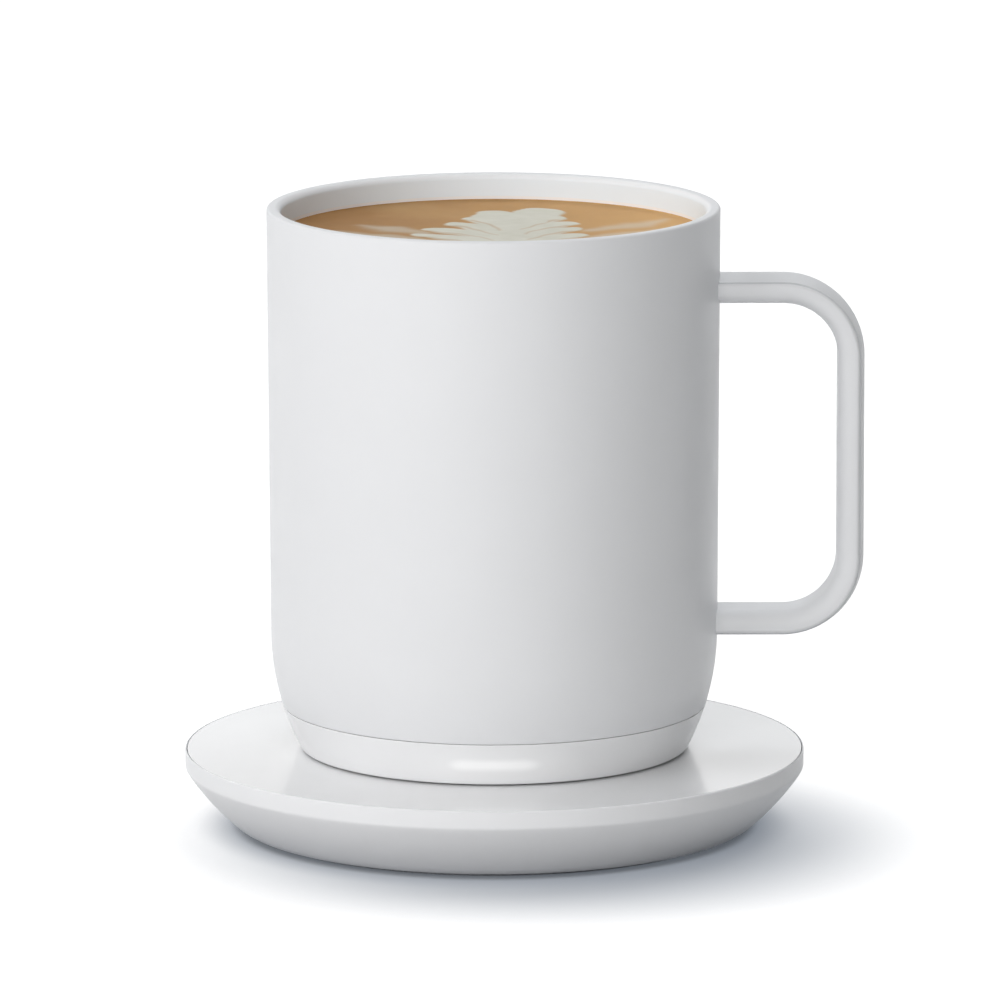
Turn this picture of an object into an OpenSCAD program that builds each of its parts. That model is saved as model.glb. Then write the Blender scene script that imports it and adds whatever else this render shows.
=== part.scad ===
// Self-heating mug standing on its charging coaster, built from separate pieces.
// Millimetres. Origin at the middle of the coaster's foot pad underside, +Z up.
// The handle points along +X, the light bar faces -Y, the power inlet faces +Y.

/* [Mug body] */
// Outside diameter at the rim
rim_d = 80; // [76:0.5:86]
// Height of the mug above the surface it stands on
mug_h = 97; // [92:0.5:110]
// How much the side's radius shrinks from the rim to the start of the tuck
side_draft = 0.4; // [0:0.05:0.55]
// Height at which the side starts to curve in to the foot
tuck_h = 21.3; // [18:0.1:26]
// Radius of the curve that tucks the side in
tuck_r = 45; // [40:1:70]
// Height of the parting line between the steel shell and the base ring
seam_h = 8.1; // [7.6:0.1:10]
// Open gap at that parting line
seam_gap = 0.3; // [0.2:0.05:0.5]
// Steel thickness of the outer shell
shell_t = 0.8; // [0.6:0.05:1.2]
// Steel thickness of the inner cup
cup_t = 0.8; // [0.6:0.05:1.2]
// Air gap between the two walls at the rim
wall_gap = 0.9; // [0.9:0.05:1.5]
// Height of the inner return of the rolled rim
lip_return = 4; // [3:0.25:8]
// Inside corner radius of the cup at its floor
cup_corner_r = 8; // [5:0.5:11]

/* [Handle] */
// Distance from the mug axis to the outer crease of the handle
handle_reach = 64.6; // [58:0.1:72]
// Height of the upper crease
handle_top_h = 84.1; // [78:0.1:88]
// Height of the lower crease
handle_low_h = 21.3; // [19:0.1:30]
// Corner radius along the outer crease
handle_corner_r = 13.5; // [9:0.5:18]
// Width of the handle strip
strip_w = 12; // [10:0.25:16]
// Depth of the strip from its crease to the finger side
strip_t = 3.9; // [3.5:0.1:5]
// Rise of the crowned outer face
strip_crown = 0.9; // [0.5:0.05:1.5]
// Rounding of the two finger-side shoulders
shoulder_r = 3; // [2:0.1:3.2]
// Width of the tongue that passes through the shell
tenon_w = 7; // [5:0.25:9]
// Height of that tongue
tenon_h = 2.4; // [1.5:0.1:3]

/* [Mug base] */
// Height of the base ring's lower edge above the seat
foot_gap = 0.6; // [0.4:0.05:0.75]
// Wall of the base ring
ring_t = 1.8; // [1.4:0.1:2.4]
// Height of the ring's spigot inside the shell
spigot_h = 4.5; // [4:0.25:7]
// Wall of the spigot
spigot_t = 2.2; // [2:0.1:2.8]
// Section diameter of the seal between ring and shell
seal_d = 1.4; // [1:0.1:1.6]
// Height of the base plate's underside above the seat
plate_recess = 0.8; // [0.7:0.05:1.2]
// Thickness of the base plate
plate_t = 2.4; // [2.2:0.1:3]
// Thickness of the ring's inner shelf
shelf_t = 1.2; // [1:0.1:1.6]
// Depth to which the foot ring is let into the base plate
foot_let_in = 0.4; // [0.3:0.05:0.6]
// Width of the foot ring
foot_w = 6; // [5:0.25:7]
// Width of the light bar
light_w = 14.6; // [10:0.2:16]
// Height of the light bar
light_t = 1.4; // [1:0.1:1.6]
// Height of the light bar's middle above the seat
light_h = 4.2; // [4:0.05:4.6]
// Wall left in front of the light bar
window_t = 0.9; // [0.7:0.05:1.2]

/* [Mug inside] */
// Room between base plate and main board
switch_room = 2.8; // [2.8:0.1:3.6]
// Thickness of the main board
board_t = 1; // [0.8:0.1:1.6]
// Height of the low parts on the main board
parts_h = 1.2; // [1:0.1:1.6]
// Diameter of a battery cell
cell_d = 14; // [13:0.25:15]
// Length of a battery cell
cell_l = 50; // [46:0.5:52]
// Space between the two cells
cell_space = 1.2; // [1:0.1:2]
// Wall of the battery tray
tray_t = 1.4; // [1.2:0.1:1.8]
// Radius of the tray's screw posts
post_r = 2.4; // [2.2:0.1:2.6]
// Radius of the tray's stud lugs
lug_r = 3.6; // [3.4:0.1:3.8]
// Thickness of the insulation pad
pad_t = 1.5; // [1:0.1:2.5]
// Thickness of the heater film
film_t = 0.3; // [0.2:0.05:0.5]
// Thickness of the heater track
track_t = 0.2; // [0.15:0.05:0.3]
// Thickness of the level strip in the wall gap
level_t = 0.25; // [0.2:0.01:0.3]
// Length of the level strip
level_l = 52; // [40:1:54]

/* [Power button] */
// Diameter of the button
button_d = 8; // [6:0.25:9]
// Distance of the button from the mug axis
button_y = 19.5; // [18.5:0.25:20]
// How far the button is pressed in
button_travel = 0.6; // [0.3:0.05:0.6]

/* [Coaster] */
// Outside diameter of the coaster
coaster_d = 110; // [106:0.5:124]
// Height of the coaster's top face
coaster_h = 14; // [13:0.25:18]
// Height of the upright band below the top face
band_h = 3.2; // [2.8:0.1:4.5]
// Diameter at the lower end of the tapered side
taper_d = 91.7; // [90:0.1:98]
// Outward bulge of the tapered side
taper_bulge = 0.5; // [0.2:0.05:1]
// How far the foot pad stands out below the body
foot_proud = 0.8; // [0.5:0.05:1.2]
// Thickness of the foot pad
foot_t = 1.6; // [1.4:0.05:2.2]
// Diameter of the foot pad
foot_d = 86; // [80:0.5:87]
// Thickness of the coaster's floor and side
body_t = 1.8; // [1.5:0.1:2.2]
// Thickness of the top plate
top_t = 2; // [1.6:0.1:2.4]
// Width of the body's thin rim around the top plate
rim_edge = 0.5; // [0.4:0.05:0.8]
// Distance between the two contact pins
pin_pitch = 12.5; // [10:0.25:14]
// Diameter of a contact pin
pin_d = 2; // [1.6:0.05:2.4]
// How far a pin sinks when pressed
pin_travel = 0.8; // [0.5:0.05:1]
// Distance of the coaster's screws from its axis
coaster_screw_r = 37; // [35:0.5:38]

/* [Power inlet] */
// Bore of the inlet
jack_bore_d = 6.3; // [5.5:0.1:6.5]
// Centre pin of the inlet
jack_pin_d = 2; // [1.6:0.1:2.5]
// Depth of the inlet's bore
jack_depth = 10; // [9:0.25:11]
// Height of the inlet's housing
jack_h = 7; // [7:0.1:7.4]
// Diameter of the recess for the plug's body
recess_d = 9.4; // [8.8:0.1:9.6]
// Distance of the recess floor from the coaster axis
recess_y = 47; // [46.5:0.1:48]

/* [Fits and fasteners] */
// Clearance between pieces that are put together
fit = 0.1; // [0.05:0.01:0.15]
// Play left over and under packed pieces
play = 0.2; // [0.1:0.05:0.3]
// Overlap with which a rib or post runs into its wall
merge = 0.3; // [0.2:0.05:0.5]
// Shank diameter of the mug's screws and studs
screw_d = 2.2; // [1.8:0.05:2.4]
// Head diameter of those screws
head_d = 3.8; // [3.4:0.1:4]
// Head height of those screws
head_t = 1; // [0.8:0.05:1.1]
// Shank diameter of the coaster's screws
big_screw_d = 2.6; // [2.2:0.05:3]
// Head diameter of the coaster's screws
big_head_d = 4.8; // [4.4:0.1:5.4]
// Diameter of a lead
lead_d = 1.2; // [0.9:0.05:1.4]

/* [Hidden] */
$fn = 96;
eps = 0.01;

// Mug sizes that follow from the values above
rim_r = rim_d / 2;
waist_r = rim_r - side_draft;
lip_t = shell_t + wall_gap + cup_t;
cup_r = rim_r - lip_t;
cup_out_r = cup_r + cup_t;
tuck_x = waist_r - tuck_r;
plate_top = plate_recess + plate_t;
shelf_top = plate_top + shelf_t;
board_low = plate_top + switch_room;
board_top = board_low + board_t;
cell_low = board_top + parts_h + play;
cell_mid = cell_low + cell_d / 2;
pad_low = cell_low + cell_d + play;
track_low = pad_low + pad_t;
film_low = track_low + track_t;
cup_low = film_low + film_t;
cup_floor = cup_low + cup_t;
function side_at(z) = waist_r + side_draft * (z - tuck_h) / (mug_h - tuck_h);
function tuck_at(z) = tuck_x + sqrt(tuck_r * tuck_r - (tuck_h - z) * (tuck_h - z));
function body_at(z) = z > tuck_h ? side_at(z) : tuck_at(z);

// Battery pack, tray and boards
tab_t = 0.25;
tab_h = 6;
cell_y = cell_d / 2 + cell_space / 2;
tray_in = cell_l / 2 + tab_t + play + fit + 2 * post_r - merge;
tray_r = tray_in + tray_t;
tray_low = shelf_top;
post_at = tray_in + merge - post_r;
lug_at = tray_in + merge - lug_r;
post_top = cell_mid - cell_d / 4;
lug_t = 3;
lug_low = cell_mid + cell_d / 4 - lug_t / 2;
web_x = cell_l * 0.36;
web_t = 2;
shelf_r = tray_in - merge;
board_r = tray_in - fit;
plate_angles = [0, 120, 240];
board_angles = [60, 180, 300];
stud_angles = [60, 120, 240, 300];
nut_t = 2;
nut_r = 2.5;
film_r = lug_at - screw_d / 2 - play;
pad_r = tray_in + tray_t / 2;

// Heater track, sensor and leads
sensor_r = 2.5;
sensor_t = 1.2;
track_w = 1.6;
track_last = 4;
track_first = sensor_r + fit + play + track_w / 2;
track_pitch = (film_r * 0.84 - track_first) / track_last;
function run_y(k) = track_first + k * track_pitch;
function run_half(k) = sqrt(pow(film_r - track_w, 2) - pow(run_y(k) + track_w / 2, 2));
lead_r = lead_d / 2;
lead_x = run_half(track_last) * 0.6;
lead_y = run_y(track_last);
plug_w = 5;
plug_d = 3.6;
plug_h = 2.6;
plug_x = web_x - web_t / 2 - plug_w / 2 - play;
plug_y = cell_y + cell_d / 2 + 2.5 + plug_d / 2;
stub = 1;

// Small parts on the boards
big_chip_w = 7;
chip_w = 5;
small_chip_w = 4;
chip_x = 9;
chip_y = 7;
choke_w = 2.4;
choke_d = 3;
choke_x = 7.5;
choke_step = 3.5;
choke_y = 8;
capacitor_w = 1.2;
capacitor_d = 2;
capacitor_step = 3;
can_w = 3.6;
can_h = 2.4;
diode_x = 6;
diode_y = 1.5;
diode_w = 1.6;
diode_h = 1;
inductor_w = 7;
inductor_h = 3;
inductor_gap = 1;

// Light bar
light_out = body_at(light_h) - window_t - fit;
light_turn = 2 * asin(light_w / 2 / light_out);
light_in = tray_in - 3 * merge;
led_s = 1.6;
led_t = 0.7;
led_y = light_in - play - led_s / 2 - led_t;
led_board_t = 0.8;
led_board_w = 11;

// Power button and its switch
button_r = button_d / 2;
button_low = plate_recess + play;
flange_r = button_r + 1.2;
flange_t = 0.6;
flange_top = plate_top + flange_t;
switch_w = 6;
switch_low = flange_top + button_travel + play;
plunger_r = 1.5;
plunger_top = switch_low + flange_t;
button_seal_r = 0.5;
button_seal_z = plate_top - plate_t * 0.4;

// Contacts under the mug
contact_t = 0.8;
contact_w = 4;
stem_r = 1;

// Coaster sizes that follow from the values above
coaster_r = coaster_d / 2;
taper_r = taper_d / 2;
band_low = coaster_h - band_h;
chord_x = coaster_r - taper_r;
chord_z = band_low - foot_proud;
chord = sqrt(chord_x * chord_x + chord_z * chord_z);
bulge_r = chord * chord / (8 * taper_bulge) + taper_bulge / 2;
bulge_x = (coaster_r + taper_r) / 2 - (bulge_r - taper_bulge) * chord_z / chord;
bulge_z = (band_low + foot_proud) / 2 + (bulge_r - taper_bulge) * chord_x / chord;
floor_low = foot_t;
floor_top = floor_low + body_t;
top_low = coaster_h - top_t;
top_r = coaster_r - rim_edge - fit;
ledge_w = 2.5;
block_r = pin_pitch + 3.5;
collar_r = block_r + 3;
gasket_t = 0.8;
collar_t = 0.8;
stand_t = 0.6;
base_low = floor_top + stand_t;
base_t = 1.2;
base_top = base_low + base_t;
base_r = block_r + 6;
pin_r = pin_d / 2;
pin_top = coaster_h + plate_recess;
shoulder_top = top_low + 0.4;
shoulder_t = 0.6;
shoulder_out = pin_r + 0.6;
tail_r = pin_r * 0.6;
tail_low = base_top + pin_travel + play;
chamber_r = shoulder_out + fit;
spring_wire = 0.2;
spring_r = chamber_r - fit - spring_wire;
spring_h = shoulder_top - shoulder_t - base_top - 2 * spring_wire - 2 * eps;
spring_turns = 6;
coaster_post_r = 3;
coaster_screw_angles = [45, 135, 225, 315];

// Inlet
jack_z = floor_top + jack_h / 2;
jack_wall = 2.5;
jack_front = recess_y - jack_wall;
jack_w = 9;
jack_rear = 2.5;
jack_back = recess_y - jack_depth - jack_rear;
root_r = jack_pin_d * 0.3;
pin_set_in = 1;
jack_nose_r = jack_bore_d / 2 + 0.8;
boss_w = recess_d + 4;

// Shared shapes

// Everything of the mug is drawn from its seat and lifted onto the coaster here
module on_seat() translate([0, 0, coaster_h]) children();

// Half outline of the mug body between two heights, set in from the outside by a wall
module body_outline(inset, z0, z1) {
    low = max(z0, tuck_h);
    high = min(z1, tuck_h);
    if (z1 > tuck_h)
        polygon([[0, low], [side_at(low) - inset, low], [side_at(z1) - inset, z1], [0, z1]]);
    if (z0 < tuck_h)
        intersection() {
            translate([tuck_x, tuck_h]) circle(tuck_r - inset);
            translate([0, z0]) square([waist_r, high - z0]);
        }
}

// Half outline of a round-cornered cup
module cup_outline(r, corner, low, high) {
    translate([0, low]) square([r - corner, high - low]);
    translate([0, low + corner]) square([r, high - low - corner]);
    translate([r - corner, low + corner]) circle(corner);
}

// Half outline of the coaster between two heights, set in from the outside by a wall
module saucer_outline(inset, z0, z1) {
    if (z0 < band_low)
        intersection() {
            translate([bulge_x, bulge_z]) circle(bulge_r - inset);
            translate([0, z0]) square([coaster_r - inset, min(z1, band_low) - z0]);
        }
    if (z1 > band_low)
        translate([0, max(z0, band_low)]) square([coaster_r - inset, z1 - max(z0, band_low)]);
}

// Part of a ring with a square section, from angle a0 over the angle turn
module arc_bar(r0, r1, z0, z1, a0, turn)
    rotate([0, 0, a0]) rotate_extrude(angle = turn) translate([r0, z0]) square([r1 - r0, z1 - z0]);

module disc(r, z0, z1) translate([0, 0, z0]) cylinder(r = r, h = z1 - z0);

module ring(r0, r1, z0, z1) difference() {
    disc(r1, z0, z1);
    disc(r0, z0 - eps, z1 + eps);
}

// Box centred in x and y, standing between two heights
module slab(w, d, z0, z1) translate([-w / 2, -d / 2, z0]) cube([w, d, z1 - z0]);

module around(angles, r) for (a = angles) rotate([0, 0, a]) translate([r, 0, 0]) children();

// Cap screw with its head below and its shank up
module screw(shank_d, cap_d, cap_t, z0, z1) {
    disc(cap_d / 2, z0, z0 + cap_t);
    disc(shank_d / 2, z0 + cap_t - eps, z1);
}

// Round tube along a list of points; side is a direction that the route never takes
function unit(v) = v / norm(v);
function heading(p, i) = unit(p[min(i + 1, len(p) - 1)] - p[max(i - 1, 0)]);
function hoop(p, i, r, n, side) =
    let (t = heading(p, i), u = unit(cross(t, side)), w = cross(t, u))
    [for (k = [0:n - 1]) p[i] + r * cos(360 * k / n) * u + r * sin(360 * k / n) * w];
module tube(p, r, n, side) {
    last = len(p) - 1;
    skin = [for (i = [0:last]) each hoop(p, i, r, n, side)];
    sides = [for (i = [0:last - 1], k = [0:n - 1])
        each [[i * n + k, (i + 1) * n + k, i * n + (k + 1) % n],
              [(i + 1) * n + k, (i + 1) * n + (k + 1) % n, i * n + (k + 1) % n]]];
    ends = [[for (k = [0:n - 1]) k], [for (k = [n - 1:-1:0]) last * n + k]];
    polyhedron(skin, concat(sides, ends));
}
function bend(a, b, c, d, t) =
    pow(1 - t, 3) * a + 3 * t * pow(1 - t, 2) * b + 3 * t * t * (1 - t) * c + pow(t, 3) * d;
function route(a, b, c, d, n) = [for (i = [0:n]) bend(a, b, c, d, i / n)];
// Route of a lead that leaves both ends square, pulled along the vectors u and v, before it bends
function lead(a, u, b, v, n) =
    concat([a], route(a + stub * unit(u), a + u, b + v, b + stub * unit(v), n), [b]);

// Mug walls

module outer_shell() color([0.93, 0.93, 0.94]) on_seat() difference() {
    rotate_extrude() {
        difference() {
            body_outline(0, seam_h, mug_h - lip_t / 2);
            body_outline(shell_t, seam_h - 1, mug_h);
        }
        translate([rim_r - lip_t / 2, mug_h - lip_t / 2]) circle(lip_t / 2);
        translate([cup_r, mug_h - lip_return]) square([cup_t, lip_return - lip_t / 2]);
    }
    for (z = [handle_top_h - strip_t / 2, handle_low_h + strip_t / 2]) tenon(z, fit);
}

module inner_cup() color([0.92, 0.92, 0.92]) on_seat() rotate_extrude() difference() {
    intersection() {
        cup_outline(cup_out_r, cup_corner_r + cup_t, cup_low, mug_h - lip_return);
        translate([0, cup_low]) square([cup_out_r, mug_h]);
    }
    intersection() {
        cup_outline(cup_r, cup_corner_r, cup_floor, mug_h);
        translate([0, cup_floor]) square([cup_r, mug_h]);
    }
}

// Section of the handle strip: x runs outward from the crease, y across the strip
module strip_section() {
    crown_r = (strip_w * strip_w / 4 + strip_crown * strip_crown) / (2 * strip_crown);
    flat = strip_w - 2 * shoulder_r;
    side_t = strip_t - shoulder_r;
    intersection() {
        translate([strip_crown - crown_r, 0]) circle(crown_r);
        union() {
            translate([-side_t, -strip_w / 2]) square([side_t + strip_crown, strip_w]);
            translate([-strip_t, -flat / 2]) square([strip_t, flat]);
            for (s = [-1, 1]) translate([-side_t, s * flat / 2]) circle(shoulder_r);
        }
    }
}

// Tongue of the handle in the shell's slot
module tenon(z, gap) {
    inner = body_at(z) - shell_t + (gap > 0 ? -1 : 0.1);
    translate([inner, -tenon_w / 2 - gap, z - tenon_h / 2 - gap])
        cube([shell_t + 2, tenon_w + 2 * gap, tenon_h + 2 * gap]);
}

module handle() color([0.93, 0.93, 0.94]) on_seat() {
    turn_x = handle_reach - handle_corner_r;
    difference() {
        rotate([90, 0, 0]) {
            translate([0, handle_top_h, 0]) rotate([90, 0, 90])
                linear_extrude(height = turn_x) strip_section();
            translate([turn_x, handle_top_h - handle_corner_r, 0])
                rotate_extrude(angle = 90) translate([handle_corner_r, 0]) strip_section();
            translate([handle_reach, handle_top_h - handle_corner_r, 0]) rotate([90, 0, 0])
                linear_extrude(height = handle_top_h - handle_low_h - 2 * handle_corner_r)
                    strip_section();
            translate([turn_x, handle_low_h + handle_corner_r, 0]) rotate([0, 0, -90])
                rotate_extrude(angle = 90) translate([handle_corner_r, 0]) strip_section();
            translate([0, handle_low_h, 0]) mirror([0, 1, 0]) rotate([90, 0, 90])
                linear_extrude(height = turn_x) strip_section();
        }
        rotate_extrude() body_outline(0, 0, mug_h);
    }
    intersection() {
        for (z = [handle_top_h - strip_t / 2, handle_low_h + strip_t / 2]) tenon(z, 0);
        translate([0, -tenon_w, 0]) cube([handle_reach, 2 * tenon_w, mug_h]);
    }
}

// Mug base

// Height and middle radius of the seal in the spigot's groove
seal_z = seam_h + spigot_h / 2;
seal_r = body_at(seal_z) - shell_t - fit / 2 - seal_d / 2;

module base_ring() color([0.94, 0.94, 0.94]) on_seat() difference() {
    rotate_extrude() {
        difference() {
            body_outline(0, foot_gap, seam_h - seam_gap);
            body_outline(ring_t, foot_gap - 1, seam_h);
        }
        difference() {
            body_outline(shell_t + fit, seam_h - spigot_h / 2, seam_h + spigot_h);
            body_outline(shell_t + fit + spigot_t, 0, seam_h + spigot_h + 1);
            translate([seal_r - seal_d / 2 - fit, seal_z - seal_d / 2 - fit])
                square([seal_d * 2, seal_d + 2 * fit]);
        }
        difference() {
            body_outline(ring_t / 2, plate_top, shelf_top);
            translate([0, plate_top - 1]) square([shelf_r, shelf_t + 2]);
        }
    }
    around(plate_angles, post_at) disc(post_r + fit, 0, shelf_top + 1);
    light_room(fit);
}

module base_seal() color([0.25, 0.25, 0.27]) on_seat()
    rotate_extrude() translate([seal_r, seal_z]) circle(seal_d / 2);

module base_plate() color([0.86, 0.87, 0.88]) on_seat() difference() {
    rotate_extrude() body_outline(ring_t + fit, plate_recess, plate_top);
    ring(foot_in - fit, foot_in + foot_w + fit, 0, plate_recess + foot_let_in);
    around(plate_angles, post_at) disc(screw_d / 2 + fit, 0, plate_top + 1);
    around(plate_angles, post_at) disc(head_d / 2 + fit, 0, head_low + head_t);
    translate([0, button_y, 0]) disc(button_r + fit, 0, plate_top + 1);
    translate([0, button_y, button_seal_z]) rotate_extrude()
        translate([0, -button_seal_r - fit])
            square([button_r + fit + 2 * button_seal_r + fit, 2 * button_seal_r + 2 * fit]);
    disc(contact_w + fit, 0, plate_recess + contact_t);
    ring(pin_pitch - contact_w / 2 - fit, pin_pitch + contact_w / 2 + fit, 0, plate_recess + contact_t);
    disc(stem_r + fit, 0, plate_top + 1);
    translate([-pin_pitch, 0, 0]) disc(stem_r + fit, 0, plate_top + 1);
}

head_low = plate_recess + foot_let_in;
foot_in = post_at - foot_w / 2;

module foot_ring() color([0.8, 0.81, 0.82]) on_seat()
    ring(foot_in, foot_in + foot_w, 0, plate_recess + foot_let_in);

module contact_center() color([0.83, 0.69, 0.4]) on_seat() {
    disc(contact_w, plate_recess, plate_recess + contact_t);
    disc(stem_r, plate_recess + contact_t - eps, board_low);
}

module contact_ring() color([0.83, 0.69, 0.4]) on_seat() {
    ring(pin_pitch - contact_w / 2, pin_pitch + contact_w / 2, plate_recess, plate_recess + contact_t);
    translate([-pin_pitch, 0, 0]) disc(stem_r, plate_recess + contact_t - eps, board_low);
}

// Light bar

// Room of the light bar, wider than the bar by the gap
module light_room(gap) {
    z0 = light_h - light_t / 2 - gap;
    z1 = light_h + light_t / 2 + gap;
    side_turn = gap > 0 ? 1 : 0;
    arc_bar(light_in - gap, light_out + gap, z0, z1,
        -90 - light_turn / 2 - side_turn, light_turn + 2 * side_turn);
}

module light_guide() color([0.97, 0.97, 0.95]) on_seat() light_room(0);

module led_board() color([0.2, 0.36, 0.26]) on_seat()
    translate([0, -led_y + led_board_t / 2, 0])
        slab(led_board_w, led_board_t, light_h - light_t / 2 - play, board_low);

module indicator_leds() color([0.98, 0.96, 0.8]) on_seat()
    for (x = [-1, 0, 1]) translate([x * 2 * led_s, -led_y - led_t / 2, 0])
        slab(led_s, led_t, light_h - light_t / 3, light_h + light_t / 3);

// Boards and switch

module main_board() color([0.16, 0.34, 0.24]) on_seat() difference() {
    disc(board_r, board_low, board_top);
    around(plate_angles, post_at) disc(post_r + fit, 0, board_top + 1);
    around(board_angles, post_at) disc(screw_d / 2 + fit, 0, board_top + 1);
}

module board_chips() color([0.13, 0.13, 0.14]) on_seat() {
    slab(big_chip_w, big_chip_w, board_top, board_top + parts_h * 0.8);
    translate([chip_x, -chip_y, 0]) slab(chip_w, chip_w, board_top, board_top + parts_h * 0.75);
    translate([-chip_x, -chip_y, 0]) slab(small_chip_w, chip_w, board_top, board_top + parts_h * 0.75);
    for (x = [-1, 1], k = [0, 1]) translate([x * (choke_x + k * choke_step), choke_y, 0])
        slab(choke_w, choke_d, board_top, board_top + parts_h);
    for (k = [-1.5:1.5]) translate([k * capacitor_step, -choke_y, 0])
        slab(capacitor_w, capacitor_d, board_top, board_top + parts_h * 0.6);
}

module power_inductor() color([0.3, 0.3, 0.32]) on_seat()
    translate([0, -cell_y - cell_d / 2 - inductor_gap - inductor_w / 2, 0])
        slab(inductor_w, inductor_w, board_top, board_top + inductor_h);

module board_connectors() color([0.88, 0.87, 0.82]) on_seat()
    for (x = [-plug_x, plug_x], y = [-plug_y, plug_y])
        translate([x, y, 0]) slab(plug_w, plug_d, board_top, board_top + plug_h);

module tact_switch() color([0.22, 0.22, 0.24]) on_seat() translate([0, button_y, 0]) difference() {
    slab(switch_w, switch_w, switch_low, board_low);
    disc(plunger_r + fit, switch_low - 1, plunger_top + button_travel + fit);
}

// Battery pack

// The two cells, larger by the gap, for the cells and their saddles
module cell_shape(y, gap)
    translate([-cell_l / 2 - gap, y, cell_mid]) rotate([0, 90, 0])
        cylinder(r = cell_d / 2 + gap, h = cell_l + 2 * gap);

module battery_tray() color([0.3, 0.31, 0.33]) on_seat() difference() {
    union() {
        ring(tray_in, tray_r, tray_low, pad_low);
        around(plate_angles, post_at) disc(post_r, plate_top, post_top);
        around(board_angles, post_at) disc(post_r, board_top, post_top);
        around(stud_angles, lug_at) disc(lug_r, lug_low, lug_low + lug_t);
        intersection() {
            for (x = [-web_x, web_x]) translate([x, 0, 0])
                slab(web_t, 2 * tray_r, board_top + play, cell_mid);
            disc(tray_in + merge, 0, mug_h);
        }
    }
    for (y = [-cell_y, cell_y]) cell_shape(y, fit);
    around(plate_angles, post_at) disc(screw_d / 2 + fit / 2, 0, post_top - 1);
    around(board_angles, post_at) disc(screw_d / 2 + fit / 2, 0, post_top - 1);
    around(stud_angles, lug_at) disc(screw_d / 2 + fit, lug_low - 1, lug_low + lug_t + 1);
    light_room(fit);
}

module battery_cell_front() color([0.2, 0.42, 0.62]) on_seat() cell_shape(-cell_y, 0);

module battery_cell_back() color([0.2, 0.42, 0.62]) on_seat() cell_shape(cell_y, 0);

module cell_tabs() color([0.75, 0.75, 0.74]) on_seat() {
    tab_w = cell_d * 0.5;
    translate([-cell_l / 2 - tab_t, -cell_y - tab_w / 2, cell_mid - tab_h / 2])
        cube([tab_t, 2 * cell_y + tab_w, tab_h]);
    for (y = [-cell_y, cell_y]) translate([cell_l / 2, y - tab_w / 2, cell_mid - tab_h / 2])
        cube([tab_t, tab_w, tab_h]);
}

// Each battery lead rounds the end of its cell, passes over the saddle and drops to its plug
module battery_leads() color([0.7, 0.15, 0.12]) on_seat() for (s = [-1, 1]) {
    from = [cell_l / 2 + tab_t, s * cell_y, cell_mid + tab_h / 3];
    over = [web_x + 2.5, s * (cell_y + cell_d / 2 + 3.2), pad_low - 2.6];
    to = [plug_x, s * plug_y, board_top + plug_h];
    round_end = route(from + [stub, 0, 0], from + [3.7, s * 1.4, 1.1], over + [5, -s * 0.8, 0.5], over, 9);
    drop = route(over, over - [4, -s * 0.6, 0.4], to + [0, 0, 5], to + [0, 0, stub], 9);
    tube(concat([from], round_end, [for (i = [1:9]) drop[i]], [to]), lead_r, 8, [0.2, 0.9, 0.4]);
}

// Heater

module heater_film() color([0.78, 0.5, 0.2]) on_seat() ring(sensor_r + fit, film_r, film_low, cup_low);

// Middle line of half the track: straight runs across the film, joined in turn at one end and the other
function run_end(k) = run_half(min(k, track_last)) - track_w / 2;
half_path = [for (k = [0:track_last]) let (side = k % 2 == 0 ? 1 : -1)
    each [[side * run_end(k), run_y(k)], [-side * run_end(k + 1), run_y(k)]]];
track_path = concat([for (i = [len(half_path) - 1:-1:0]) [half_path[i][0], -half_path[i][1]]], half_path);

// Edge of the track beside point i of its middle line, square at the corners
function step_way(i) = unit(track_path[i + 1] - track_path[i]);
function track_edge(i, side) =
    let (a = step_way(max(i - 1, 0)), b = step_way(min(i, len(track_path) - 2)), way = a == b ? a : a + b)
    track_path[i] + side * track_w / 2 * [-way[1], way[0]];

module heater_track() color([0.72, 0.45, 0.25]) on_seat() translate([0, 0, track_low])
    linear_extrude(height = track_t) polygon(concat(
        [for (i = [0:len(track_path) - 1]) track_edge(i, -1)],
        [for (i = [len(track_path) - 1:-1:0]) track_edge(i, 1)]));

module heater_leads() color([0.75, 0.16, 0.12]) on_seat() for (s = [-1, 1]) {
    from = [-lead_x, s * lead_y, track_low];
    to = [-plug_x + plug_w / 4, s * plug_y, board_top + plug_h];
    tube(lead(from, [0, 0, -10], to, [0, 0, 3], 10), lead_r, 8, [0, 1, 0]);
}

module insulation_pad() color([0.85, 0.84, 0.8]) on_seat() difference() {
    ring(sensor_r + play, pad_r, pad_low, track_low);
    around(stud_angles, lug_at) disc(screw_d / 2 + play, 0, mug_h);
    for (s = [-1, 1]) translate([-lead_x, s * lead_y, 0]) disc(lead_r + 2 * play, 0, mug_h);
}

module temp_sensor() color([0.1, 0.1, 0.11]) on_seat() disc(sensor_r, cup_low - sensor_t, cup_low);

module level_strip() color([0.8, 0.55, 0.25]) on_seat() {
    z0 = cup_low + cup_corner_r + cup_t + 1;
    arc_bar(cup_out_r, cup_out_r + level_t, z0, z0 + level_l, 84, 12);
}

// Fasteners

module cup_studs() color([0.7, 0.7, 0.71]) on_seat()
    around(stud_angles, lug_at) disc(screw_d / 2, lug_low - nut_t - 1, cup_low);

module stud_nuts() color([0.72, 0.72, 0.73]) on_seat() around(stud_angles, lug_at) difference() {
    translate([0, 0, lug_low - nut_t]) cylinder(r = nut_r, h = nut_t, $fn = 6);
    disc(screw_d / 2 + fit / 2, 0, mug_h);
}

module plate_screws() color([0.55, 0.55, 0.56]) on_seat()
    around(plate_angles, post_at) screw(screw_d, head_d, head_t, head_low, post_top - 2);

module board_screws() color([0.55, 0.55, 0.56]) on_seat()
    around(board_angles, post_at) screw(screw_d, head_d, head_t, board_low - head_t, post_top - 2);

// Power button

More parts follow.
